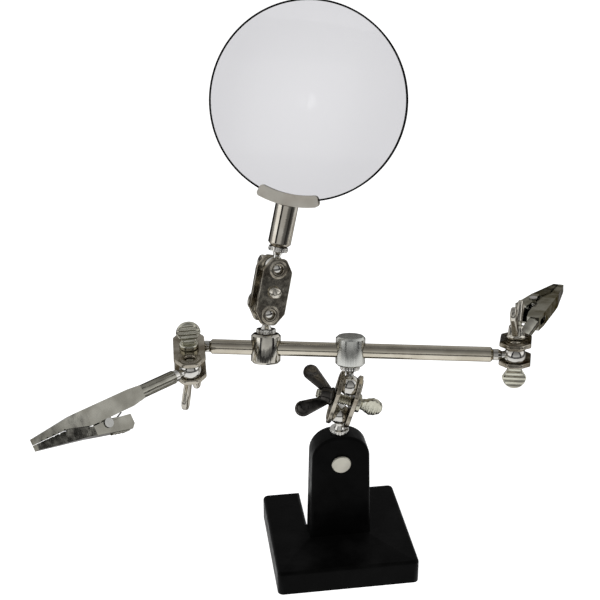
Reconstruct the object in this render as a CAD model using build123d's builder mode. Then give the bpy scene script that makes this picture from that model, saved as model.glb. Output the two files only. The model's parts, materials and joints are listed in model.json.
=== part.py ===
"""Helping hands clamp with magnifier: a cast base, a cross rod on a ball joint, two clips and a lens.

Frame: millimetres, +Z up, origin on the base's flat underside, -Y towards the user.
Every joint frame is a Plane. A stud's plane has its origin at the ball and its x along the shank.
A clamp's plane has its origin at its first ball, x towards its second ball and z square to the plates.
A clip's plane has its origin at its ball, x towards the tip and y towards the fixed jaw's back.
"""

from build123d import *
from math import cos, radians, sin, sqrt
import os

# Cast base
base_width = 50.0
base_depth = 48.0
slab_height = 9.0
slab_corner = 2.0
slab_edge = 1.2
notch_width = 22.0
upright_front = -5.0
upright_back = 4.0
upright_foot_width = 22.0
upright_top_width = 20.0
upright_top = 50.0
upright_shoulder = 8.5
upright_edge = 1.0
cross_pin_height = 39.5
cross_pin_radius = 2.5
cross_pin_head_radius = 3.4
cross_pin_head = 0.9

# Ball studs
ball_radius = 3.6
neck_radius = 1.25
neck_end = 4.3
shoulder_radius = 1.9
flange_radius = 3.2
flange_start = 5.6
ball_reach = 7.2
collar_shank = 2.0
base_shank = 6.0
rod_shank = 6.0
clip_shank = 8.0
stud_shank_radius = 1.8
clip_shank_radius = 1.3

# Running fits
turning_gap = 0.05
face_gap = 0.1
pin_gap = 0.02
bore_spare = 1.0

# Clamps: two plates squeezed on two balls by a screw between them
ball_spacing = 15.5
plate_inner = 2.4
plate_thickness = 1.5
plate_width = 10.5
plate_overhang = 3.6
plate_corner_along = 4.2
plate_corner_across = 2.8
plate_corner_round = 1.5
seat_hole_radius = 1.7
seat_ring_radius = 2.9
seat_ring_height = 0.35
seat_ring_taper = 30.0
screw_radius = 1.8

# Wing nuts, wing screw and thumb screws
hub_radius = 3.2
hub_height = 4.6
hub_taper = 8.0
wing_root_out = 2.2
wing_root_up = 2.7
wing_root_radius = 1.6
wing_tip_out = 6.8
wing_tip_up = 9.2
wing_tip_radius = 2.8
wing_thickness = 2.2
screw_tip = 1.4
front_tip = 2.6
thumb_collar_height = 1.6
thumb_root_up = 2.4
thumb_root_radius = 2.3
thumb_tip_up = 5.2
thumb_tip_radius = 4.1
thumb_thickness = 2.2

# Cross rod and the two collars that ride on it
rod_radius = 2.5
rod_length = 95.0
rod_chamfer = 0.8
collar_radius = 5.0
collar_height = 10.0
collar_chamfer = 0.7

# Magnifier
sleeve_radius = 3.85
sleeve_length = 14.0
sleeve_chamfer = 1.2
holder_seat = 1.0
lens_radius = 32.0
lens_edge = 2.4
lens_dome = 2.4
rim_thickness = 0.6
rim_width = 3.0
holder_inner_radius = 30.6
holder_outer_radius = 34.6
holder_width = 5.2
holder_half_angle = 18.0
holder_end_round = 1.2

# Alligator clips: x from the ball, y up from the line between ball and tip
barrel_end = 24.0
barrel_radius = 2.2
jaw_tip = 60.4
jaw_wall = 0.7
fixed_back = 2.6
fixed_half_width = 2.5
fixed_shoulder = 21.0
fixed_full = 26.0
fixed_nose_start = 46.0
fixed_nose_back = 1.0
tip_half_width = 1.5
bite_line = -0.9
bite_start = 49.0
bite_gap = 0.12
tooth_pitch = 2.0
tooth_depth = 0.5
tooth_count = 5
fixed_belly = -3.0
jaw_taper_start = 42.0
pivot_along = 37.0
pivot_drop = -4.4
pivot_lug_radius = 2.1
pivot_radius = 0.95
pivot_head_radius = 1.5
pivot_head = 0.4
moving_half_width = 3.5
moving_tail = 28.8
moving_tail_top = -4.7
moving_tail_floor = -9.2
moving_tail_height = 1.3
moving_mid = 43.5
moving_mid_floor = -6.0
moving_tip_floor = -2.9
moving_gap = 0.4
window_along = 22.5
window_length = 6.0
window_width = 2.4
spring_coil_radius = 1.5
spring_wire_radius = 0.26
spring_turns = 3.6
spring_start = 246.0
spring_pitch = 0.62
spring_leg = 6.5

# Resting pose, in degrees: twist about a stud, lean off the plates, swing between them
rod_yaw = -12.0
lens_collar_offset = 28.5
base_clamp_pose = (-12.5, -14.0, 18.0)
main_collar_lean_back = -13.0
lens_collar_lean_back = -17.0
lens_clamp_pose = (25.5, -4.5, -8.5)
lens_stem_pose = (-30.0, 0.0, -1.0)
left_clamp_pose = (-2.0, 0.0, 100.5)
left_clip_pose = (0.0, -1.0, -52.0)
left_clip_roll = 126.0
right_clamp_pose = (-15.0, 0.0, 82.5)
right_clip_pose = (0.0, -10.5, -14.5)
right_clip_roll = 178.0
base_wing_turn = 70.0
lens_wing_turn = 4.0
left_wing_turn = 18.0
right_wing_turn = -8.0
base_thumb_turn = 0.0
left_thumb_turn = 95.0
right_thumb_turn = 85.0


def moved_along(plane, x=0.0, y=0.0, z=0.0):
    """The same directions with the origin moved in the plane's own axes."""
    return Plane(plane.location * Location((x, y, z)))


def turned(plane, twist=0.0, lean=0.0, swing=0.0):
    """The plane turned about its own x, then its new y, then its new z, in degrees."""
    return Plane(plane.location * Location((0, 0, 0), (twist, lean, swing)))


def across(plane, x=0.0):
    """A plane square to the x axis, at x along it."""
    return Plane(origin=plane.from_local_coords((x, 0, 0)), x_dir=plane.y_dir, z_dir=plane.x_dir)


def upright_on(plane):
    """A plane that holds the given plane's x and its normal, with the normal as its y."""
    return Plane(origin=plane.origin, x_dir=plane.x_dir, z_dir=-plane.y_dir)


def keep(piece, name):
    """Labels a finished piece and writes it."""
    piece.part.label = name
    export_step(piece.part, f"parts/{name}.step")


def ball_stud(plane, name, shank_radius, shank_length, flanged=True):
    """A ball, a thin neck, an optional flange and a round shank, all along the plane's x."""
    ball_end = sqrt(ball_radius**2 - neck_radius**2)
    face = ball_reach - face_gap
    flange = [(flange_start, flange_radius), (face, flange_radius)] if flanged else [(face, shoulder_radius)]
    with BuildPart() as stud:
        with BuildSketch(plane):
            with BuildLine():
                ThreePointArc((-ball_radius, 0), (0, ball_radius), (ball_end, neck_radius))
                Polyline(
                    (ball_end, neck_radius),
                    (neck_end, neck_radius),
                    (flange_start, shoulder_radius),
                    *flange,
                    (face, shank_radius),
                    (ball_reach + shank_length, shank_radius),
                    (ball_reach + shank_length, 0),
                    (-ball_radius, 0),
                )
            make_face()
        revolve(axis=Axis(plane.origin, plane.x_dir))
    keep(stud, name)


def clamp_plate(clamp, side, name):
    """One stamped plate of a clamp, on the side of the balls that side's sign gives."""
    half = plate_width / 2
    start = -plate_overhang
    end = ball_spacing + plate_overhang
    inner_face = clamp.offset(side * plate_inner)
    outer_face = clamp.offset(side * (plate_inner + plate_thickness))
    with BuildPart() as plate:
        with BuildSketch(inner_face):
            with BuildLine():
                Polyline(
                    (start, half - plate_corner_across),
                    (start + plate_corner_along, half),
                    (end - plate_corner_along, half),
                    (end, half - plate_corner_across),
                    (end, plate_corner_across - half),
                    (end - plate_corner_along, -half),
                    (start + plate_corner_along, -half),
                    (start, plate_corner_across - half),
                    close=True,
                )
            corners = make_face().vertices()
            fillet(corners, radius=plate_corner_round)
        extrude(amount=side * plate_thickness)
        with BuildSketch(outer_face):
            with Locations((0, 0), (ball_spacing, 0)):
                Circle(seat_ring_radius)
        extrude(amount=side * seat_ring_height, taper=seat_ring_taper)
        with BuildSketch(inner_face):
            with Locations((0, 0), (ball_spacing, 0)):
                Circle(seat_hole_radius)
            with Locations((ball_spacing / 2, 0)):
                Circle(screw_radius + turning_gap)
        extrude(amount=side * (plate_thickness + seat_ring_height), mode=Mode.SUBTRACT)
        with Locations(clamp, moved_along(clamp, ball_spacing)):
            Sphere(ball_radius + turning_gap, mode=Mode.SUBTRACT)
    keep(plate, name)


def screw_seat(clamp, side, turn=0.0):
    """The plane on a plate's outer face at the screw, facing outwards and turned about the screw."""
    outward = side * (plate_inner + plate_thickness + face_gap)
    seat = Plane(
        origin=clamp.from_local_coords((ball_spacing / 2, 0, outward)),
        x_dir=clamp.x_dir,
        z_dir=clamp.z_dir * side,
    )
    return turned(seat, swing=turn)


def wing_blades(seat):
    """Two rounded wings that rise and spread from a hub on the seat."""
    with BuildPart() as blades:
        for wing_side in (-1, 1):
            with BuildSketch(upright_on(seat)):
                with Locations((wing_side * wing_root_out, wing_root_up)):
                    Circle(wing_root_radius)
                with Locations((wing_side * wing_tip_out, wing_tip_up)):
                    Circle(wing_tip_radius)
                make_hull()
            extrude(amount=wing_thickness / 2, both=True)
    return blades.part


def wing_nut(seat, name):
    """A wing nut that turns on the screw."""
    blades = wing_blades(seat)
    with BuildPart() as nut:
        with BuildSketch(seat):
            Circle(hub_radius)
        extrude(amount=hub_height, taper=hub_taper)
        add(blades)
        with BuildSketch(seat):
            Circle(screw_radius + turning_gap)
        extrude(amount=wing_tip_up, mode=Mode.SUBTRACT)
    keep(nut, name)


def wing_screw(seat, name):
    """A wing head on a screw that runs through both plates and out at the front."""
    plates = 2 * (plate_inner + plate_thickness) + face_gap
    blades = wing_blades(seat)
    with BuildPart() as screw:
        with BuildSketch(seat):
            Circle(hub_radius)
        extrude(amount=hub_height, taper=hub_taper)
        add(blades)
        with BuildSketch(seat):
            Circle(screw_radius)
        extrude(amount=-(plates + front_tip))
    keep(screw, name)


def thumb_screw(seat, name):
    """A flat thumb head on a screw that runs through both plates and through the wing nut."""
    length = 2 * (plate_inner + plate_thickness + face_gap) + hub_height + screw_tip
    with BuildPart() as screw:
        with BuildSketch(seat):
            Circle(hub_radius)
        extrude(amount=thumb_collar_height)
        with BuildSketch(upright_on(seat)):
            with Locations((0, thumb_root_up)):
                Circle(thumb_root_radius)
            with Locations((0, thumb_tip_up)):
                Circle(thumb_tip_radius)
            make_hull()
        extrude(amount=thumb_thickness / 2, both=True)
        with BuildSketch(seat):
            Circle(screw_radius)
        extrude(amount=-length)
    keep(screw, name)


def ball_clamp(clamp, prefix, nut_side, wing_turn, thumb_turn):
    """Both plates, the thumb screw and the wing nut of one clamp."""
    clamp_plate(clamp, 1, f"{prefix}_upper_plate")
    clamp_plate(clamp, -1, f"{prefix}_lower_plate")
    thumb_screw(screw_seat(clamp, -nut_side, thumb_turn), f"{prefix}_thumb_screw")
    wing_nut(screw_seat(clamp, nut_side, wing_turn), f"{prefix}_wing_nut")


def collar(plane, stud_side, name):
    """A round collar along the plane's z, bored along x for the rod and in one end for its stud."""
    with BuildPart() as body:
        with BuildSketch(plane.offset(-collar_height / 2)):
            Circle(collar_radius)
        extrude(amount=collar_height)
        chamfer(body.edges(), length=collar_chamfer)
        with BuildSketch(across(plane, -collar_radius)):
            Circle(rod_radius + turning_gap)
        extrude(amount=2 * collar_radius, mode=Mode.SUBTRACT)
        with BuildSketch(plane):
            Circle(stud_shank_radius + turning_gap)
        extrude(amount=stud_side * collar_height / 2, mode=Mode.SUBTRACT)
    keep(body, name)


def jaw_block(clip, side_outline, plan_outline):
    """The solid that a jaw's side outline and its plan outline have in common."""
    with BuildPart() as block:
        with BuildSketch(clip):
            with BuildLine():
                Polyline(*side_outline, close=True)
            make_face()
        extrude(amount=moving_half_width, both=True)
        with BuildSketch(upright_on(clip)):
            with BuildLine():
                Polyline(*plan_outline, close=True)
            make_face()
        extrude(amount=2 * abs(moving_tail_floor), both=True, mode=Mode.INTERSECT)
    return block.part


def jaw_plan(start, half_width, tip_half, inset):
    """A jaw's outline seen from its back, moved in by inset."""
    side = half_width - inset
    tip_side = tip_half - inset
    end = jaw_tip - inset
    return [
        (start, side),
        (jaw_taper_start, side),
        (end, tip_side),
        (end, -tip_side),
        (jaw_taper_start, -side),
        (start, -side),
    ]


def tooth_notches(clip, line, direction):
    """A row of wedges that cut notches across a jaw's biting edge."""
    with BuildPart() as notches:
        for index in range(tooth_count):
            root = bite_start + (index + 0.5) * tooth_pitch
            with BuildSketch(clip):
                with BuildLine():
                    Polyline(
                        (root, line - direction),
                        (root, line),
                        (root + tooth_pitch / 4, line + direction * tooth_depth),
                        (root + tooth_pitch / 2, line),
                        (root + tooth_pitch / 2, line - direction),
                        close=True,
                    )
                make_face()
            extrude(amount=moving_half_width, both=True)
    return notches.part


def fixed_jaw(clip, name):
    """A barrel that turns on the clip's stud, flattened into a channel that is open underneath."""
    outside = [
        (fixed_shoulder, barrel_radius),
        (fixed_full, fixed_back),
        (fixed_nose_start, fixed_back),
        (jaw_tip, fixed_nose_back),
        (jaw_tip, bite_line),
        (bite_start, bite_line),
        (jaw_taper_start, fixed_belly),
        (fixed_full, fixed_belly),
        (fixed_shoulder, -barrel_radius),
    ]
    below = pivot_drop - 2 * pivot_lug_radius
    inside = [
        (barrel_end, fixed_back - jaw_wall),
        (fixed_nose_start, fixed_back - jaw_wall),
        (jaw_tip - jaw_wall, fixed_nose_back - jaw_wall),
        (jaw_tip - jaw_wall, below),
        (barrel_end, below),
    ]
    channel = jaw_block(clip, outside, jaw_plan(fixed_shoulder, fixed_half_width, tip_half_width, 0))
    hollow = jaw_block(clip, inside, jaw_plan(barrel_end, fixed_half_width, tip_half_width, jaw_wall))
    notches = tooth_notches(clip, bite_line, 1)
    with BuildPart() as jaw:
        with BuildSketch(across(clip, ball_reach)):
            Circle(barrel_radius)
        extrude(amount=barrel_end - ball_reach)
        add(channel)
        with BuildSketch(clip):
            with Locations((pivot_along, pivot_drop)):
                Circle(pivot_lug_radius)
            with Locations((pivot_along, fixed_belly)):
                Rectangle(2 * pivot_lug_radius, 2 * abs(pivot_drop - fixed_belly))
        extrude(amount=fixed_half_width, both=True)
        add(hollow, mode=Mode.SUBTRACT)
        with BuildSketch(across(clip, ball_reach)):
            Circle(clip_shank_radius + turning_gap)
        extrude(amount=barrel_end, mode=Mode.SUBTRACT)
        with BuildSketch(clip):
            with Locations((pivot_along, pivot_drop)):
                Circle(pivot_radius + pin_gap)
        extrude(amount=fixed_half_width, both=True, mode=Mode.SUBTRACT)
        with BuildSketch(upright_on(clip)):
            with Locations((window_along + window_length / 2, 0)):
                SlotOverall(window_length, window_width)
        extrude(amount=-2 * fixed_back, mode=Mode.SUBTRACT)
        add(notches, mode=Mode.SUBTRACT)
    keep(jaw, name)


def moving_jaw(clip, name):
    """The lower jaw: a channel open above, its mouth at the tip and its finger tail behind the pivot."""
    top = bite_line - bite_gap
    outside = [
        (moving_tail, moving_tail_top),
        (moving_tail, moving_tail_floor + moving_tail_height),
        (moving_tail + moving_tail_height, moving_tail_floor),
        (moving_mid, moving_mid_floor),
        (jaw_tip, moving_tip_floor),
        (jaw_tip, top),
        (bite_start, top),
        (jaw_taper_start, fixed_belly - moving_gap),
        (pivot_along, fixed_belly - moving_gap),
    ]
    above = fixed_back
    inside = [
        (moving_tail - jaw_wall, above),
        (moving_tail - jaw_wall, moving_tail_floor + moving_tail_height + jaw_wall),
        (moving_tail + moving_tail_height, moving_tail_floor + jaw_wall),
        (moving_mid, moving_mid_floor + jaw_wall),
        (jaw_tip - jaw_wall, moving_tip_floor + jaw_wall),
        (jaw_tip - jaw_wall, above),
    ]
    channel = jaw_block(clip, outside, jaw_plan(moving_tail, moving_half_width, tip_half_width, 0))
    hollow = jaw_block(clip, inside, jaw_plan(moving_tail - jaw_wall, moving_half_width, tip_half_width, jaw_wall))
    notches = tooth_notches(clip, top, -1)
    with BuildPart() as jaw:
        add(channel)
        add(hollow, mode=Mode.SUBTRACT)
        with BuildSketch(clip):
            with Locations((pivot_along, pivot_drop)):
                Circle(pivot_radius + turning_gap)
        extrude(amount=moving_half_width, both=True, mode=Mode.SUBTRACT)
        add(notches, mode=Mode.SUBTRACT)
    keep(jaw, name)


def pivot_pin(clip, name):
    """The headed pin that both jaws turn on."""
    pivot = moved_along(clip, pivot_along, pivot_drop)
    reach = moving_half_width + face_gap
    with BuildPart() as pin:
        with BuildSketch(pivot):
            Circle(pivot_radius)
        extrude(amount=reach, both=True)
        for side in (-1, 1):
            with BuildSketch(pivot.offset(side * reach)):
                Circle(pivot_head_radius)
            extrude(amount=side * pivot_head)
    keep(pin, name)


def clip_spring(clip, name):
    """A torsion spring round the pin, with a straight leg for each jaw."""
    height = spring_turns * spring_pitch
    pivot = turned(moved_along(clip, pivot_along, pivot_drop, -height / 2), swing=spring_start)
    with BuildPart() as wound:
        with BuildLine() as wire:
            coil = Helix(pitch=spring_pitch, height=height, radius=spring_coil_radius)
            Line(coil @ 0 - coil % 0 * spring_leg, coil @ 0)
            Line(coil @ 1, coil @ 1 + coil % 1 * spring_leg)
        with BuildSketch(Plane(origin=wire.line @ 0, z_dir=wire.line % 0)):
            Circle(spring_wire_radius)
        sweep(path=wire.line)
    with BuildPart() as spring:
        with Locations(pivot):
            add(wound.part)
    keep(spring, name)


def alligator_clip(clip, prefix):
    """Both jaws, the pin and the spring of one clip."""
    fixed_jaw(clip, f"{prefix}_fixed_jaw")
    moving_jaw(clip, f"{prefix}_moving_jaw")
    pivot_pin(clip, f"{prefix}_pivot_pin")
    clip_spring(clip, f"{prefix}_spring")


def magnifier(stem):
    """The sleeve, the curved holder, the rim and the lens, all square to the stem's z."""
    centre = moved_along(stem, ball_reach + sleeve_length + holder_outer_radius)
    down = Plane(origin=centre.origin, x_dir=-centre.x_dir, z_dir=centre.z_dir)
    with BuildPart() as lens_sleeve:
        with BuildSketch(across(stem, ball_reach)):
            Circle(sleeve_radius)
        extrude(amount=sleeve_length + holder_seat)
        chamfer(lens_sleeve.faces().sort_by(Axis(stem.origin, stem.x_dir))[0].edges(), length=sleeve_chamfer)
        with BuildSketch(across(stem, ball_reach)):
            Circle(stud_shank_radius + turning_gap)
        extrude(amount=rod_shank + bore_spare, mode=Mode.SUBTRACT)
        with BuildSketch(down):
            Circle(holder_outer_radius)
        extrude(amount=2 * sleeve_radius, both=True, mode=Mode.SUBTRACT)
    keep(lens_sleeve, "lens_sleeve")

    with BuildPart() as lens_holder_clip:
        with BuildSketch(down):
            with BuildLine():
                outer = CenterArc((0, 0), holder_outer_radius, -holder_half_angle, 2 * holder_half_angle)
                inner = CenterArc((0, 0), holder_inner_radius, -holder_half_angle, 2 * holder_half_angle)
                Line(outer @ 0, inner @ 0)
                Line(outer @ 1, inner @ 1)
            holder_corners = make_face().vertices()
            fillet(holder_corners, radius=holder_end_round)
        extrude(amount=holder_width / 2, both=True)
        with BuildSketch(down):
            Circle(lens_radius + rim_thickness + pin_gap)
        extrude(amount=rim_width / 2 + pin_gap, both=True, mode=Mode.SUBTRACT)
    keep(lens_holder_clip, "lens_holder_clip")

    with BuildPart() as lens_rim:
        with BuildSketch(down):
            Circle(lens_radius + rim_thickness)
            Circle(lens_radius + pin_gap, mode=Mode.SUBTRACT)
        extrude(amount=rim_width / 2, both=True)
    keep(lens_rim, "lens_rim")

    with BuildPart() as magnifier_lens:
        with BuildSketch(upright_on(down)):
            with BuildLine():
                ThreePointArc(
                    (-lens_radius, lens_edge / 2),
                    (0, lens_edge / 2 + lens_dome),
                    (lens_radius, lens_edge / 2),
                )
                Line((lens_radius, lens_edge / 2), (lens_radius, -lens_edge / 2))
                ThreePointArc(
                    (lens_radius, -lens_edge / 2),
                    (0, -lens_edge / 2 - lens_dome),
                    (-lens_radius, -lens_edge / 2),
                )
                Line((-lens_radius, -lens_edge / 2), (-lens_radius, lens_edge / 2))
            make_face()
            with Locations((-lens_radius, 0)):
                Rectangle(2 * lens_radius, 4 * lens_dome, mode=Mode.SUBTRACT)
        revolve(axis=Axis(down.origin, down.z_dir))
    keep(magnifier_lens, "magnifier_lens")


os.makedirs("parts", exist_ok=True)

# Joint frames, from the base up to the rod and out to its ends
upright_middle = (upright_front + upright_back) / 2
base_ball = (0, upright_middle, upright_top + ball_reach)
base_stud = Plane(origin=base_ball, x_dir=(0, 0, 1), z_dir=(1, 0, 0))
base_clamp = turned(base_stud, *base_clamp_pose)
main_ball = base_clamp.from_local_coords((ball_spacing, 0, 0))
rod_direction = (cos(radians(rod_yaw)), sin(radians(rod_yaw)), 0)
level = Plane(origin=main_ball, x_dir=rod_direction, z_dir=(0, 0, 1))
above_main_ball = turned(level, main_collar_lean_back)
ball_to_collar = ball_reach + collar_height / 2
main_collar_frame = moved_along(above_main_ball, z=ball_to_collar)
main_stud = Plane(origin=main_ball, x_dir=above_main_ball.z_dir, z_dir=rod_direction)
rod = Plane(origin=main_collar_frame.origin, x_dir=rod_direction, z_dir=(0, 0, 1))

lens_collar_frame = turned(moved_along(rod, -lens_collar_offset), lens_collar_lean_back)
lens_ball = moved_along(lens_collar_frame, z=ball_to_collar)
lens_stud = Plane(origin=lens_ball.origin, x_dir=lens_ball.z_dir, z_dir=-lens_ball.y_dir)
lens_clamp = turned(lens_stud, *lens_clamp_pose)
lens_stem = turned(moved_along(lens_clamp, ball_spacing), *lens_stem_pose)

rod_end_reach = rod_length / 2 + ball_reach
left_stud = Plane(
    origin=rod.from_local_coords((-rod_end_reach, 0, 0)), x_dir=-rod.x_dir, z_dir=rod.z_dir
)
left_clamp = turned(left_stud, *left_clamp_pose)
left_clip_stud = turned(moved_along(left_clamp, ball_spacing), *left_clip_pose)
left_clip = turned(left_clip_stud, left_clip_roll)
right_stud = moved_along(rod, rod_end_reach)
right_clamp = turned(right_stud, *right_clamp_pose)
right_clip_stud = turned(moved_along(right_clamp, ball_spacing), *right_clip_pose)
right_clip = turned(right_clip_stud, right_clip_roll)

# Base casting: a notched slab with a rounded upright at the front of the notch
with BuildPart() as upright:
    with BuildSketch(Plane.XZ.offset(-upright_back)):
        with BuildLine():
            Polyline(
                (-upright_foot_width / 2, slab_height / 2),
                (upright_foot_width / 2, slab_height / 2),
                (upright_foot_width / 2, slab_height),
                (upright_top_width / 2, upright_top),
                (-upright_top_width / 2, upright_top),
                (-upright_foot_width / 2, slab_height),
                close=True,
            )
        shoulders = make_face().vertices().group_by(Axis.Y)[-1]
        fillet(shoulders, radius=upright_shoulder)
    extrude(amount=upright_back - upright_front)
    fillet(upright.faces().filter_by(Axis.Y).edges(), radius=upright_edge)
with BuildPart() as base_casting:
    with BuildSketch():
        corners = Rectangle(base_width, base_depth).vertices()
        fillet(corners, radius=slab_corner)
        with Locations((0, base_depth / 2)):
            Rectangle(notch_width, 2 * (base_depth / 2 - upright_back), mode=Mode.SUBTRACT)
    extrude(amount=slab_height)
    slab_top = base_casting.faces().sort_by(Axis.Z)[-1]
    fillet(slab_top.edges(), radius=slab_edge)
    add(upright.part)
    with BuildSketch(Plane.XY.offset(upright_top)):
        with Locations((0, upright_middle)):
            Circle(stud_shank_radius + turning_gap)
    extrude(amount=-(base_shank + bore_spare), mode=Mode.SUBTRACT)
    with BuildSketch(Plane.XZ.offset(-upright_back)):
        with Locations((0, cross_pin_height)):
            Circle(cross_pin_radius + pin_gap)
    extrude(amount=upright_back - upright_front, mode=Mode.SUBTRACT)
keep(base_casting, "base_casting")

# Cross pin through the upright, with a flat head on the front
with BuildPart() as base_cross_pin:
    with BuildSketch(Plane.XZ.offset(-upright_back)):
        with Locations((0, cross_pin_height)):
            Circle(cross_pin_radius)
    extrude(amount=upright_back - upright_front)
    with BuildSketch(Plane.XZ.offset(-upright_front)):
        with Locations((0, cross_pin_height)):
            Circle(cross_pin_head_radius)
    extrude(amount=cross_pin_head)
    chamfer(base_cross_pin.faces().sort_by(Axis.Y)[0].edges(), length=cross_pin_head / 3)
keep(base_cross_pin, "base_cross_pin")

# Base joint and main collar
base_stud_down = Plane(origin=base_ball, x_dir=(0, 0, -1), z_dir=(1, 0, 0))
ball_stud(base_stud_down, "base_ball_stud", stud_shank_radius, base_shank)
ball_clamp(base_clamp, "base_clamp", -1, base_wing_turn, base_thumb_turn)
ball_stud(main_stud, "main_ball_stud", stud_shank_radius, collar_shank)
collar(main_collar_frame, -1, "main_collar")

# Cross rod, bored at both ends for the clamps' studs
with BuildPart() as cross_rod:
    with BuildSketch(across(rod, -rod_length / 2)):
        Circle(rod_radius)
    extrude(amount=rod_length)
    chamfer(cross_rod.edges(), length=rod_chamfer)
    for end in (-1, 1):
        with BuildSketch(across(rod, end * rod_length / 2)):
            Circle(clip_shank_radius + turning_gap)
        extrude(amount=-end * (rod_shank + bore_spare), mode=Mode.SUBTRACT)
keep(cross_rod, "cross_rod")

# Magnifier arm
lens_stud_down = Plane(origin=lens_ball.origin, x_dir=-lens_ball.z_dir, z_dir=-lens_ball.y_dir)
collar(lens_collar_frame, 1, "lens_collar")
ball_stud(lens_stud_down, "lens_collar_ball_stud", stud_shank_radius, collar_shank)
clamp_plate(lens_clamp, 1, "lens_clamp_front_plate")
clamp_plate(lens_clamp, -1, "lens_clamp_rear_plate")
wing_screw(screw_seat(lens_clamp, -1, lens_wing_turn), "lens_clamp_wing_screw")
ball_stud(lens_stem, "lens_stem_ball_stud", stud_shank_radius, rod_shank)
magnifier(lens_stem)

# Left and right arms
arms = (
    ("left", left_stud, left_clamp, left_clip_stud, left_clip, -1, left_wing_turn, left_thumb_turn),
    ("right", right_stud, right_clamp, right_clip_stud, right_clip, 1, right_wing_turn, right_thumb_turn),
)
for side_name, stud, clamp, clip_stud, clip, nut_side, wing_turn, thumb_turn in arms:
    into_rod = Plane(origin=stud.origin, x_dir=-stud.x_dir, z_dir=stud.z_dir)
    ball_stud(into_rod, f"{side_name}_rod_ball_stud", clip_shank_radius, rod_shank, flanged=False)
    ball_clamp(clamp, f"{side_name}_clamp", nut_side, wing_turn, thumb_turn)
    ball_stud(clip_stud, f"{side_name}_clip_ball_stud", clip_shank_radius, clip_shank, flanged=False)
    alligator_clip(clip, f"{side_name}_clip")
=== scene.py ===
"""Looks of the helping hands clamp: nickel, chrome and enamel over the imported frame, on a pale studio floor.

Lengths are millimetres unless a name says otherwise, and the scale to metres is applied once.
"""

import json
import math

import bmesh
import bpy
from mathutils import Matrix, Vector


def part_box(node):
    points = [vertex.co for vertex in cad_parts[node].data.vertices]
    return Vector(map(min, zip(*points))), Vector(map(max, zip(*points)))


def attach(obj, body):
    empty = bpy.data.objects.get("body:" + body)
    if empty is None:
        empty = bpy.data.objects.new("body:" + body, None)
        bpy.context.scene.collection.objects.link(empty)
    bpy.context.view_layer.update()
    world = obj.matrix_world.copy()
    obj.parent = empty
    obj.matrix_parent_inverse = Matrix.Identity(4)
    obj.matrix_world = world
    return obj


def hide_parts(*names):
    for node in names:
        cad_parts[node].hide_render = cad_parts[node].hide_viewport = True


MM = 0.001

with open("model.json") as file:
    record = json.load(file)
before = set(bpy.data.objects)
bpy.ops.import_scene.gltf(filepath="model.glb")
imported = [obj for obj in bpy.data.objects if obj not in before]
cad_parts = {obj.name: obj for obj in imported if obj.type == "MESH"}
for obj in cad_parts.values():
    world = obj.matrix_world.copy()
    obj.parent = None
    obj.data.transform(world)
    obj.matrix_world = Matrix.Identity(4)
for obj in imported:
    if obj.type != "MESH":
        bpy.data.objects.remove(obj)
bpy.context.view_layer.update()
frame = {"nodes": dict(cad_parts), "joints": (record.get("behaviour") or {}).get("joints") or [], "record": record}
nodes = frame["nodes"]
joints = {joint["name"]: joint for joint in frame["joints"]}

# Camera
camera_target = (-13.5, 0.0, 101.8)
camera_azimuth = -7.74
camera_elevation = 25.77
camera_roll = -0.36
camera_distance = 395.9
camera_lens_mm = 72.0
camera_sensor_mm = 36.0

# Turns of the wings and thumb heads about their screws, in degrees
base_wing_turn = 70.0
base_thumb_turn = 0.0
lens_wing_turn = 4.0
left_wing_turn = 18.0
left_thumb_turn = 95.0
right_wing_turn = -8.0
right_thumb_turn = 85.0

# Screws of the clamps, from the outer face of a plate
seat_height = 4.0
screw_radius = 1.8
screw_tip = 1.4
front_tip = 2.6
thread_pitch = 0.8
thread_depth = 0.28
thread_chamfer = 0.25
thread_overlap = 0.3
thread_points = 40
rings_per_pitch = 8
lathe_points = 56
solid_core = 0.02

# Hub and wings
hub_radius = 3.2
hub_height = 4.6
hub_top_radius = 2.2
hub_top_edge = 0.4
hub_step = 0.35
washer_height = 1.2
washer_edge = 0.3
wing_root = (2.2, 2.7)
wing_root_radius = 1.6
wing_tip = (6.8, 9.2)
wing_tip_radius = 2.8
wing_thickness = 2.2
wing_dish = 0.45
dish_reach = 0.75
wing_voxel = 0.16
wing_soften = 4

# Thumb heads
thumb_collar_radius = 3.2
thumb_collar_height = 1.6
thumb_foot_edge = 0.2
thumb_top_edge = 0.3
thumb_crown = 0.1
thumb_root = (0.0, 2.4)
thumb_root_radius = 2.3
thumb_tip = (0.0, 5.2)
thumb_tip_radius = 4.1
thumb_thickness = 2.4
thumb_ribs = 6
thumb_rib_height = 0.32
thumb_voxel = 0.128
thumb_soften = 1

# Rounding of a blade's section and of its ends
blade_steps = 44
blade_points = 40
blade_squareness = 0.6
blade_end_power = 6

# Knurled flanges, from the ball
flange_start = 5.7
flange_radius = 3.2
knurl_height = 1.3
knurl_edge = 0.25
knurl_teeth = 22
knurl_depth = 0.16
points_per_tooth = 6

# Finger grips on the tail of the moving jaw
tail_bend = 30.1
tail_floor = -9.2
floor_slope = 3.2 / 13.4
ridge_start = 31.0
ridge_pitch = 1.25
ridge_count = 4
ridge_half_width = 2.6
ridge_end = 0.3
ridge_radius = 0.38
ridge_end_radius = 0.1
ridge_points = 12

# Bevels that soften the CAD solids' edges, by material slot
edge_widths = {
    "plate_chrome": 0.4,
    "clip_nickel": 0.16,
    "base_enamel": 0.3,
    "collar_satin": 0.25,
    "collar_chrome": 0.2,
    "pin_steel": 0.4,
}
edge_segments = 2
edge_angle = 32.0
weld_distance = 0.002

# Studio
floor_size = 3000.0
floor_colour = (0.3, 0.3, 0.3)
floor_glow = 0.95
tent_strength = 1.35


def greys(*stops):
    """Colour stops from (place, brightness) pairs."""
    return [(place, (brightness,) * 3) for place, brightness in stops]


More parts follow.
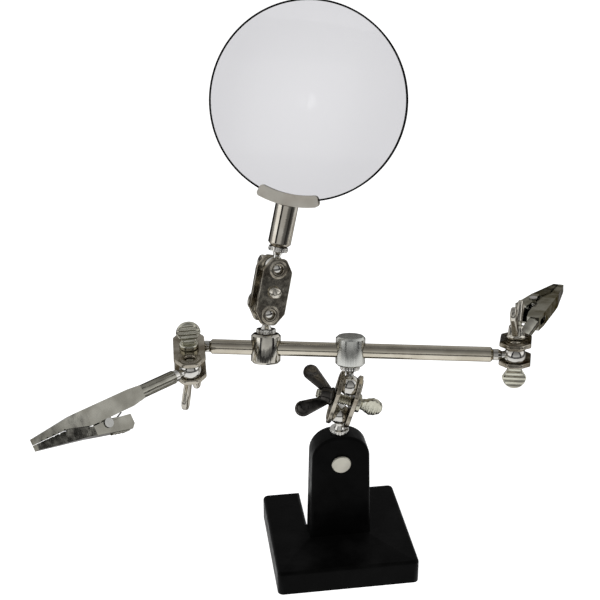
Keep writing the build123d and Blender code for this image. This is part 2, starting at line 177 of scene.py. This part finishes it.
floor_reflection = greys((0.0, 0.9), (0.3, 0.8), (0.45, 0.08), (1.0, 0.03))
tent_walls = greys(
    (0.0, 0.5),
    (0.30, 1.0),
    (0.335, 1.0),
    (0.34, 0.02),
    (0.38, 0.02),
    (0.40, 0.45),
    (0.60, 0.35),
    (0.62, 0.02),
    (0.655, 0.02),
    (0.66, 1.0),
    (0.72, 1.0),
    (1.0, 0.5),
)
tent_levels = greys((0.5, 0.25), (0.54, 0.35), (0.56, 1.0), (0.75, 0.6), (1.0, 0.25))

softbox_size = 350.0
softboxes = (
    ("key", (-450.0, -350.0, 700.0), 6.0),
    ("fill", (500.0, -300.0, 500.0), 3.0),
)

# Grain of the plating, in cells per metre
stain_scale = 160.0
wave_scale = 220.0
polish_scale = 4 * stain_scale
pit_scale = 12 * stain_scale
pit_strength = 0.25
pit_depth = 0.04
# Where the dark stains end and the light plating starts, in the grain's own values
stain_edges = (0.38, 0.6)
# Metals darken where they curve out of sight
metal_edge_tint = (0.12, 0.11, 0.10)


# Node materials


def new_material(name):
    """An empty material with a surface shader, as (material, node tree, shader)."""
    material = bpy.data.materials.new(name)
    material.use_nodes = True
    tree = material.node_tree
    return material, tree, tree.nodes["Principled BSDF"]


def node(tree, kind, **inputs):
    """A new node with the given input values; an underscore in a name stands for a space."""
    made = tree.nodes.new(kind)
    for name, value in inputs.items():
        made.inputs[name.replace("_", " ")].default_value = value
    return made


def grain(tree, scale, detail=4.0):
    """A noise value from 0 to 1 over the object, with the given number of cells per metre."""
    place = node(tree, "ShaderNodeTexCoord")
    noise = node(tree, "ShaderNodeTexNoise", Scale=scale, Detail=detail)
    tree.links.new(place.outputs["Object"], noise.inputs["Vector"])
    return noise.outputs["Fac"]


def ramp(tree, value, stops):
    """A colour ramp over a value; stops are (place, colour)."""
    made = tree.nodes.new("ShaderNodeValToRGB")
    band = made.color_ramp
    while len(band.elements) < len(stops):
        band.elements.new(0.5)
    for element, (place, colour) in zip(band.elements, stops):
        element.position = place
        element.color = (*colour, 1.0)
    tree.links.new(value, made.inputs["Fac"])
    return made.outputs["Color"]


def spread(tree, value, low, high):
    """A value from 0.3 to 0.7 stretched to run from low to high."""
    made = node(tree, "ShaderNodeMapRange", From_Min=0.3, From_Max=0.7, To_Min=low, To_Max=high)
    tree.links.new(value, made.inputs["Value"])
    return made.outputs["Result"]


def bump(tree, height, strength, distance_mm):
    """A bumped normal from a height value."""
    made = node(tree, "ShaderNodeBump", Strength=strength, Distance=distance_mm * MM)
    tree.links.new(height, made.inputs["Height"])
    return made.outputs["Normal"]


def plated_metal(name, light, dark, smooth, rough, wave=0.0):
    """Plated metal: two close tints in soft stains, uneven polish, fine pits and a slight waviness in mm."""
    material, tree, shader = new_material(name)
    stain_start, plating_start = stain_edges
    tint = ramp(tree, grain(tree, stain_scale, 5.0), [(stain_start, dark), (plating_start, light)])
    tree.links.new(tint, shader.inputs["Base Color"])
    polish = spread(tree, grain(tree, polish_scale, 6.0), smooth, rough)
    tree.links.new(polish, shader.inputs["Roughness"])
    normal = bump(tree, grain(tree, pit_scale, 3.0), pit_strength, pit_depth)
    if wave:
        ripples = node(tree, "ShaderNodeBump", Strength=1.0, Distance=wave * MM)
        tree.links.new(grain(tree, wave_scale, 1.0), ripples.inputs["Height"])
        tree.links.new(normal, ripples.inputs["Normal"])
        normal = ripples.outputs["Normal"]
    tree.links.new(normal, shader.inputs["Normal"])
    shader.inputs["Metallic"].default_value = 1.0
    shader.inputs["Specular Tint"].default_value = (*metal_edge_tint, 1.0)
    return material


def enamel(name):
    """Near-black stoved enamel over a sand casting: soft orange peel, dusty highlights on worn spots."""
    material, tree, shader = new_material(name)
    wear = grain(tree, 90.0, 6.0)
    tree.links.new(
        ramp(tree, wear, [(0.45, (0.001, 0.001, 0.001)), (0.75, (0.003, 0.003, 0.003))]),
        shader.inputs["Base Color"],
    )
    tree.links.new(spread(tree, grain(tree, 240.0), 0.28, 0.5), shader.inputs["Roughness"])
    tree.links.new(bump(tree, grain(tree, 700.0, 3.0), 0.35, 0.12), shader.inputs["Normal"])
    shader.inputs["Specular IOR Level"].default_value = 0.04
    return material


def lens_glass(name):
    """Lens glass: a grey-lavender tint with painted shade that darkens it towards the rim, and a trace of dust."""
    material, tree, shader = new_material(name)
    place = node(tree, "ShaderNodeTexCoord")
    shift = node(tree, "ShaderNodeMapping", Location=(-0.5, -0.5, -0.5))
    tree.links.new(place.outputs["Generated"], shift.inputs["Vector"])
    length = tree.nodes.new("ShaderNodeVectorMath")
    length.operation = "LENGTH"
    tree.links.new(shift.outputs["Vector"], length.inputs[0])
    # The tint runs from lighter in the middle to darker at the rim; the darker rim is painted shade.
    cast = ramp(tree, length.outputs["Value"], [(0.1, (0.675, 0.672, 0.69)), (0.55, (0.615, 0.612, 0.63))])
    tree.links.new(cast, shader.inputs["Base Color"])
    tree.links.new(spread(tree, grain(tree, 500.0), 0.0, 0.03), shader.inputs["Roughness"])
    shader.inputs["Transmission Weight"].default_value = 1.0
    shader.inputs["IOR"].default_value = 1.5
    return material


materials = {
    "base_enamel": enamel("base_enamel"),
    "pin_steel": plated_metal("pin_steel", (0.62, 0.6, 0.52), (0.5, 0.48, 0.42), 0.3, 0.45),
    "stud_nickel": plated_metal("stud_nickel", (0.80, 0.79, 0.75), (0.66, 0.64, 0.6), 0.06, 0.2),
    "plate_chrome": plated_metal("plate_chrome", (0.56, 0.52, 0.44), (0.30, 0.265, 0.21), 0.12, 0.28, 0.3),
    "screw_nickel": plated_metal("screw_nickel", (0.70, 0.69, 0.58), (0.5, 0.48, 0.40), 0.12, 0.28),
    "wing_nickel": plated_metal("wing_nickel", (0.80, 0.76, 0.67), (0.58, 0.55, 0.49), 0.1, 0.25, 0.2),
    # A darker copy of the wing nickel for the base's wing nut; its darkness is painted shade.
    "wing_black_nickel": plated_metal(
        "wing_black_nickel", (0.16, 0.15, 0.14), (0.04, 0.037, 0.034), 0.1, 0.25, 0.2
    ),
    "collar_satin": plated_metal("collar_satin", (0.80, 0.81, 0.77), (0.72, 0.72, 0.68), 0.22, 0.3),
    "collar_chrome": plated_metal("collar_chrome", (0.74, 0.71, 0.64), (0.60, 0.57, 0.50), 0.04, 0.12),
    "rod_nickel": plated_metal("rod_nickel", (0.74, 0.69, 0.58), (0.62, 0.57, 0.47), 0.08, 0.18),
    "sleeve_chrome": plated_metal("sleeve_chrome", (0.70, 0.67, 0.60), (0.58, 0.54, 0.47), 0.03, 0.1),
    "holder_nickel": plated_metal("holder_nickel", (0.96, 0.92, 0.82), (0.86, 0.80, 0.70), 0.3, 0.45),
    "rim_black": plated_metal("rim_black", (0.02, 0.02, 0.02), (0.01, 0.01, 0.01), 0.25, 0.4),
    "lens_glass": lens_glass("lens_glass"),
    "clip_nickel": plated_metal("clip_nickel", (0.42, 0.41, 0.36), (0.30, 0.29, 0.25), 0.12, 0.24, 0.2),
    "pivot_steel": plated_metal("pivot_steel", (0.72, 0.7, 0.68), (0.5, 0.5, 0.48), 0.15, 0.3),
    "spring_steel": plated_metal("spring_steel", (0.6, 0.6, 0.6), (0.4, 0.4, 0.4), 0.1, 0.25),
}


def rounded_edges(obj, width):
    """Softens a CAD solid's sharp edges, so they catch the light."""
    weld = obj.modifiers.new("weld", "WELD")
    weld.merge_threshold = weld_distance * MM
    bevel = obj.modifiers.new("edge", "BEVEL")
    bevel.width = width * MM
    bevel.segments = edge_segments
    bevel.limit_method = "ANGLE"
    bevel.angle_limit = math.radians(edge_angle)
    bevel.harden_normals = True


slot_of = {part["node"]: part["material_slot"] for part in frame["record"]["subparts"]}
for name, obj in nodes.items():
    slot = slot_of[name]
    obj.data.materials.clear()
    obj.data.materials.append(materials[slot])
    if slot in edge_widths:
        rounded_edges(obj, edge_widths[slot])


# Shapes, in millimetres in their own frame


def centre(name):
    """The middle of a CAD node's box, in metres."""
    low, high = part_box(name)
    return (low + high) / 2


def hinge(name):
    """A joint's place in metres and its axis."""
    joint = joints[name]
    return Vector(joint["pos_m"]), Vector(joint["axis"])


def pointing_to(axis, start, name):
    """The axis, turned round if needed so that it points from start to the CAD node."""
    return axis if axis.dot(centre(name) - start) > 0 else -axis


def local_frame(origin, x_axis, z_axis):
    """The matrix that carries a frame's millimetres to metres in the row frame."""
    z = z_axis.normalized()
    x = (x_axis - z * x_axis.dot(z)).normalized()
    axes = Matrix((x, z.cross(x), z)).transposed().to_4x4()
    return Matrix.Translation(origin) @ axes @ Matrix.Scale(MM, 4)


def seat_frame(first, second, name, turn):
    """The frame on a clamp plate's outer face at its screw, facing the named node and turned in degrees."""
    first_ball, normal = hinge(first)
    second_ball, _ = hinge(second)
    middle = (first_ball + second_ball) / 2
    outward = pointing_to(normal, middle, name)
    origin = middle + outward * seat_height * MM
    frame_at_seat = local_frame(origin, second_ball - first_ball, outward)
    return frame_at_seat @ Matrix.Rotation(math.radians(turn), 4, "Z")


def skin(mesh, rings, closed=False):
    """Faces between rings of points; the ends are capped, or joined to each other if closed."""
    made = [[mesh.verts.new(point) for point in ring] for ring in rings]
    pairs = list(zip(made, made[1:]))
    if closed:
        pairs.append((made[-1], made[0]))
    else:
        mesh.faces.new(reversed(made[0]))
        mesh.faces.new(made[-1])
    for lower, upper in pairs:
        for index in range(len(lower)):
            after = (index + 1) % len(lower)
            mesh.faces.new((lower[index], lower[after], upper[after], upper[index]))


def turn_steps(count):
    """Equal steps of a full turn, in radians."""
    return [2 * math.pi * index / count for index in range(count)]


def circle(radius, height):
    """Points round the z axis."""
    return [(radius * math.cos(turn), radius * math.sin(turn), height) for turn in turn_steps(lathe_points)]


def add_lathe(mesh, outline):
    """A turned solid from a closed outline of (radius, height) pairs."""
    skin(mesh, [circle(radius, height) for radius, height in outline], closed=True)


def add_blade(mesh, root, root_radius, tip, tip_radius, thickness, ribs=0, rib_height=0.0, dish=0.0):
    """A rounded flat lobe in the xz plane from root to tip, with ribs across it or a dished face."""
    start, end = Vector(root), Vector(tip)
    along = end - start
    length = along.length
    along.normalize()
    side = Vector((-along.y, along.x))
    reach = length + root_radius + tip_radius
    rings = []
    for step in range(1, blade_steps):
        share = 0.5 - 0.5 * math.cos(math.pi * step / blade_steps)
        place = -root_radius + reach * share
        blend = min(max(place / length, 0.0), 1.0)
        nearest = root_radius + (tip_radius - root_radius) * blend
        beyond = place - length * blend
        width = math.sqrt(max(nearest**2 - beyond**2, 0.0))
        depth = thickness / 2 * (1 - abs(2 * share - 1) ** blade_end_power) ** (1 / blade_end_power)
        depth += rib_height * math.sin(math.pi * ribs * share) ** 2
        middle = start + along * place
        ring = []
        for angle in turn_steps(blade_points):
            cosine, sine = math.cos(angle), math.sin(angle)
            across = width * math.copysign(abs(cosine) ** blade_squareness, cosine)
            from_tip = ((place - length) ** 2 + across**2) / (tip_radius * dish_reach) ** 2
            hollow = dish * max(1 - from_tip, 0.0)
            out = (depth - hollow) * math.copysign(abs(sine) ** blade_squareness, sine)
            spot = middle + side * across
            ring.append((spot.x, out, spot.y))
        rings.append(ring)
    skin(mesh, rings)


def add_thread(mesh, bottom):
    """A screw thread from inside the head down the z axis to the bottom, with a chamfered end."""
    top = thread_overlap
    steps = round((top - bottom) / thread_pitch * rings_per_pitch)
    rings = []
    for step in range(steps + 1):
        height = bottom + (top - bottom) * step / steps
        pitches_up = (height - bottom) / thread_pitch
        end = min(1.0, 1.0 - thread_chamfer + thread_chamfer * pitches_up)
        ring = []
        for angle in turn_steps(thread_points):
            wave = 0.5 + 0.5 * math.cos(2 * math.pi * height / thread_pitch - angle)
            size = (screw_radius - thread_depth * wave) * end
            ring.append((size * math.cos(angle), size * math.sin(angle), height))
        rings.append(ring)
    skin(mesh, rings)


def finish_piece(name, mesh, matrix, slot, body, stands_for=()):
    """Turns a mesh in progress into a shown piece that rides on a body."""
    bmesh.ops.recalc_face_normals(mesh, faces=mesh.faces)
    data = bpy.data.meshes.new(name)
    mesh.to_mesh(data)
    mesh.free()
    data.transform(matrix)
    for face in data.polygons:
        face.use_smooth = True
    data.materials.append(materials[slot])
    piece = bpy.data.objects.new(name, data)
    bpy.context.collection.objects.link(piece)
    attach(piece, body)
    if stands_for:
        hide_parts(*stands_for)
    return piece


def cast_together(piece, size, rounds):
    """Melts a piece's overlapping solids into one casting with soft inside corners."""
    remesh = piece.modifiers.new("cast", "REMESH")
    remesh.mode = "VOXEL"
    remesh.voxel_size = size * MM
    remesh.use_smooth_shade = True
    smooth = piece.modifiers.new("soften", "SMOOTH")
    smooth.factor = 0.5
    smooth.iterations = rounds


def add_wing_head(mesh, inside):
    """A tapered hub with a washer face and two dished wings; inside is the bore's radius."""
    outline = [
        (inside, 0.0),
        (hub_radius - washer_edge, 0.0),
        (hub_radius, washer_edge),
        (hub_radius, washer_height - washer_edge),
        (hub_radius - hub_step, washer_height),
        (hub_top_radius + hub_step, hub_height - hub_top_edge),
        (hub_top_radius, hub_height),
        (inside, hub_height),
    ]
    add_lathe(mesh, outline)
    for wing_side in (-1, 1):
        root = (wing_side * wing_root[0], wing_root[1])
        tip = (wing_side * wing_tip[0], wing_tip[1])
        add_blade(mesh, root, wing_root_radius, tip, wing_tip_radius, wing_thickness, dish=wing_dish)


def add_thumb_head(mesh):
    """A round collar with a ribbed spade standing on it."""
    outline = [
        (solid_core, 0.0),
        (thumb_collar_radius - thumb_foot_edge, 0.0),
        (thumb_collar_radius, thumb_foot_edge),
        (thumb_collar_radius, thumb_collar_height - thumb_top_edge),
        (thumb_collar_radius - thumb_top_edge, thumb_collar_height),
        (solid_core, thumb_collar_height + thumb_crown),
    ]
    add_lathe(mesh, outline)
    between_ribs = thumb_thickness - 2 * thumb_rib_height
    add_blade(
        mesh,
        thumb_root,
        thumb_root_radius,
        thumb_tip,
        thumb_tip_radius,
        between_ribs,
        ribs=thumb_ribs,
        rib_height=thumb_rib_height,
    )


def thread_piece(name, matrix, slot, body, length):
    """The threaded shank of a screw, down from the plate's outer face."""
    mesh = bmesh.new()
    add_thread(mesh, -length)
    finish_piece(f"{name}_thread", mesh, matrix, slot, body)


def wing_nut(name, matrix, slot, body):
    """A cast wing nut."""
    mesh = bmesh.new()
    add_wing_head(mesh, screw_radius)
    piece = finish_piece(f"{name}_cast", mesh, matrix, slot, body, [name])
    cast_together(piece, wing_voxel, wing_soften)


def wing_screw(name, matrix, slot, body):
    """A cast wing head on its threaded shank, in two pieces."""
    mesh = bmesh.new()
    add_wing_head(mesh, solid_core)
    piece = finish_piece(f"{name}_cast", mesh, matrix, slot, body, [name])
    cast_together(piece, wing_voxel, wing_soften)
    thread_piece(name, matrix, slot, body, 2 * seat_height + front_tip)


def thumb_screw(name, matrix, slot, body):
    """A ribbed thumb head on its threaded shank, in two pieces."""
    mesh = bmesh.new()
    add_thumb_head(mesh)
    piece = finish_piece(f"{name}_head", mesh, matrix, slot, body, [name])
    cast_together(piece, thumb_voxel, thumb_soften)
    thread_piece(name, matrix, slot, body, 2 * seat_height + hub_height + screw_tip)


def knurled_ring(name, ball, axis, body):
    """The knurled edge of a ball stud's flange."""
    profile = (
        (0.0, -knurl_edge),
        (knurl_edge, 0.0),
        (knurl_height - knurl_edge, 0.0),
        (knurl_height, -knurl_edge),
    )
    rings = []
    for height, swell in profile:
        ring = []
        for angle in turn_steps(knurl_teeth * points_per_tooth):
            size = flange_radius + swell + knurl_depth * math.cos(knurl_teeth * angle)
            ring.append((size * math.cos(angle), size * math.sin(angle), flange_start + height))
        rings.append(ring)
    mesh = bmesh.new()
    skin(mesh, rings)
    finish_piece(name, mesh, local_frame(ball, axis.orthogonal(), axis), "stud_nickel", body)


def grip_ridges(name, clip_frame, body):
    """Ridges for the fingers across the moving jaw's tail."""
    bar = (
        (-ridge_half_width, ridge_end_radius),
        (-ridge_half_width + ridge_end, ridge_radius),
        (ridge_half_width - ridge_end, ridge_radius),
        (ridge_half_width, ridge_end_radius),
    )
    mesh = bmesh.new()
    for index in range(ridge_count):
        along = ridge_start + index * ridge_pitch
        down = tail_floor + (along - tail_bend) * floor_slope
        rings = []
        for across, size in bar:
            ring = []
            for angle in turn_steps(ridge_points):
                ring.append((along + size * math.cos(angle), down + size * math.sin(angle), across))
            rings.append(ring)
        skin(mesh, rings)
    finish_piece(name, mesh, clip_frame, "clip_nickel", body)


# Clamp screws: clamp, its first and second ball's joints, nut's body, the two turns, nut's slot
clamps = (
    (
        "base_clamp",
        "base_clamp_swing",
        "main_stud_swing",
        "base_wing",
        base_wing_turn,
        base_thumb_turn,
        # the base's wing nut takes the darker copy of the wing nickel, as painted shade
        "wing_black_nickel",
    ),
    (
        "left_clamp",
        "left_clamp_swing",
        "left_clip_swing",
        "left_wing",
        left_wing_turn,
        left_thumb_turn,
        "wing_nickel",
    ),
    (
        "right_clamp",
        "right_clamp_swing",
        "right_clip_swing",
        "right_wing",
        right_wing_turn,
        right_thumb_turn,
        "wing_nickel",
    ),
)
for clamp, first, second, wing_body, wing_turn, thumb_turn, wing_slot in clamps:
    nut, screw = f"{clamp}_wing_nut", f"{clamp}_thumb_screw"
    wing_nut(nut, seat_frame(first, second, nut, wing_turn), wing_slot, wing_body)
    thumb_screw(screw, seat_frame(first, second, screw, thumb_turn), "screw_nickel", clamp)
wing_screw(
    "lens_clamp_wing_screw",
    seat_frame("lens_clamp_swing", "lens_stem_swing", "lens_clamp_wing_screw", lens_wing_turn),
    "wing_nickel",
    "lens_wing",
)

# Knurled flanges
flanged_studs = (
    ("base_ball_stud", "base_stud_twist", "base_stud"),
    ("main_ball_stud", "main_collar_twist", "main_stud"),
    ("lens_collar_ball_stud", "lens_stud_twist", "lens_stud"),
    ("lens_stem_ball_stud", "lens_head_twist", "lens_stem"),
)
for stud, twist, body in flanged_studs:
    ball, axis = hinge(twist)
    knurled_ring(f"{stud}_knurl", ball, pointing_to(axis, ball, stud), body)

# Finger grips
for side_name in ("left", "right"):
    ball, along = hinge(f"{side_name}_clip_twist")
    _, pin = hinge(f"{side_name}_jaw_open")
    towards_tip = pointing_to(along, ball, f"{side_name}_clip_fixed_jaw")
    clip_frame = local_frame(ball, towards_tip, -pin)
    grip_ridges(f"{side_name}_clip_grip", clip_frame, f"{side_name}_jaw")


# Studio


def falloff(tree, stops):
    """A colour by distance from the origin in metres, up to a metre; stops are (place, colour)."""
    place = node(tree, "ShaderNodeTexCoord")
    length = tree.nodes.new("ShaderNodeVectorMath")
    length.operation = "LENGTH"
    tree.links.new(place.outputs["Object"], length.inputs[0])
    return ramp(tree, length.outputs["Value"], stops)


def add_floor():
    """A large pale floor. Seen directly it is evenly lit; in reflections it dims away from the object."""
    bpy.ops.mesh.primitive_plane_add(size=floor_size * MM)
    floor = bpy.context.object
    floor.name = "floor"
    material, tree, shader = new_material("floor_paper")
    shader.inputs["Base Color"].default_value = (*floor_colour, 1.0)
    shader.inputs["Roughness"].default_value = 0.9
    shader.inputs["Specular IOR Level"].default_value = 0.0
    shader.inputs["Emission Color"].default_value = (1.0, 1.0, 1.0, 1.0)
    shader.inputs["Emission Strength"].default_value = floor_glow
    reflected = node(tree, "ShaderNodeEmission", Strength=1.0)
    tree.links.new(falloff(tree, floor_reflection), reflected.inputs["Color"])
    path = tree.nodes.new("ShaderNodeLightPath")
    seen = tree.nodes.new("ShaderNodeMath")
    seen.operation = "MAXIMUM"
    tree.links.new(path.outputs["Is Camera Ray"], seen.inputs[0])
    tree.links.new(path.outputs["Is Transmission Ray"], seen.inputs[1])
    choose = tree.nodes.new("ShaderNodeMixShader")
    tree.links.new(seen.outputs[0], choose.inputs["Fac"])
    tree.links.new(reflected.outputs["Emission"], choose.inputs[1])
    tree.links.new(shader.outputs["BSDF"], choose.inputs[2])
    output = tree.nodes["Material Output"]
    tree.links.new(choose.outputs["Shader"], output.inputs["Surface"])
    floor.data.materials.append(material)


def add_softbox(name, place, power):
    """A square soft light that points at the object's middle and shows in no reflection."""
    light = bpy.data.lights.new(name, "AREA")
    light.size = softbox_size * MM
    light.energy = power
    lamp = bpy.data.objects.new(name, light)
    bpy.context.collection.objects.link(lamp)
    lamp.location = Vector(place) * MM
    towards = Vector(camera_target) * MM - lamp.location
    lamp.rotation_euler = towards.to_track_quat("-Z", "Y").to_euler()
    lamp.visible_glossy = False
    lamp.visible_transmission = False


def maths(tree, operation, first, second):
    """One arithmetic step; each input is a socket or a number."""
    made = tree.nodes.new("ShaderNodeMath")
    made.operation = operation
    for index, value in enumerate((first, second)):
        if isinstance(value, (int, float)):
            made.inputs[index].default_value = value
        else:
            tree.links.new(value, made.inputs[index])
    return made.outputs[0]


def add_light_tent():
    """A world like a photographer's tent: upright seams by direction, a dim horizon, white seen directly."""
    world = bpy.data.worlds.new("tent")
    bpy.context.scene.world = world
    world.use_nodes = True
    tree = world.node_tree
    background = tree.nodes["Background"]
    place = node(tree, "ShaderNodeTexCoord")
    split = node(tree, "ShaderNodeSeparateXYZ")
    tree.links.new(place.outputs["Generated"], split.inputs["Vector"])
    front = maths(tree, "MULTIPLY", split.outputs["Y"], -1.0)
    turn = maths(tree, "ARCTAN2", split.outputs["X"], front)
    around = maths(tree, "ADD", maths(tree, "DIVIDE", turn, 2 * math.pi), 0.5)
    height = maths(tree, "ADD", maths(tree, "MULTIPLY", split.outputs["Z"], 0.5), 0.5)
    walls = ramp(tree, around, tent_walls)
    levels = ramp(tree, height, tent_levels)
    shade = tree.nodes.new("ShaderNodeMix")
    shade.data_type = "RGBA"
    shade.blend_type = "MULTIPLY"
    shade.inputs["Factor"].default_value = 1.0
    tree.links.new(walls, shade.inputs["A"])
    tree.links.new(levels, shade.inputs["B"])
    tree.links.new(shade.outputs["Result"], background.inputs["Color"])
    background.inputs["Strength"].default_value = tent_strength
    direct = node(tree, "ShaderNodeBackground", Strength=1.2)
    path = tree.nodes.new("ShaderNodeLightPath")
    choose = tree.nodes.new("ShaderNodeMixShader")
    tree.links.new(path.outputs["Is Camera Ray"], choose.inputs["Fac"])
    tree.links.new(background.outputs["Background"], choose.inputs[1])
    tree.links.new(direct.outputs["Background"], choose.inputs[2])
    tree.links.new(choose.outputs["Shader"], tree.nodes["World Output"].inputs["Surface"])


def add_camera():
    """The camera, placed by its direction and distance from the target."""
    azimuth = math.radians(camera_azimuth)
    elevation = math.radians(camera_elevation)
    back = Vector(
        (
            math.sin(azimuth) * math.cos(elevation),
            -math.cos(azimuth) * math.cos(elevation),
            math.sin(elevation),
        )
    )
    data = bpy.data.cameras.new("camera")
    data.lens = camera_lens_mm
    data.sensor_width = camera_sensor_mm
    camera = bpy.data.objects.new("camera", data)
    bpy.context.collection.objects.link(camera)
    camera.location = (Vector(camera_target) + back * camera_distance) * MM
    facing = (-back).to_track_quat("-Z", "Y").to_matrix().to_4x4()
    facing = facing @ Matrix.Rotation(math.radians(camera_roll), 4, "Z")
    camera.rotation_euler = facing.to_euler()
    bpy.context.scene.camera = camera


add_floor()
add_light_tent()
for box_name, box_place, box_power in softboxes:
    add_softbox(box_name, box_place, box_power)
add_camera()
bpy.context.scene.view_settings.view_transform = "Standard"
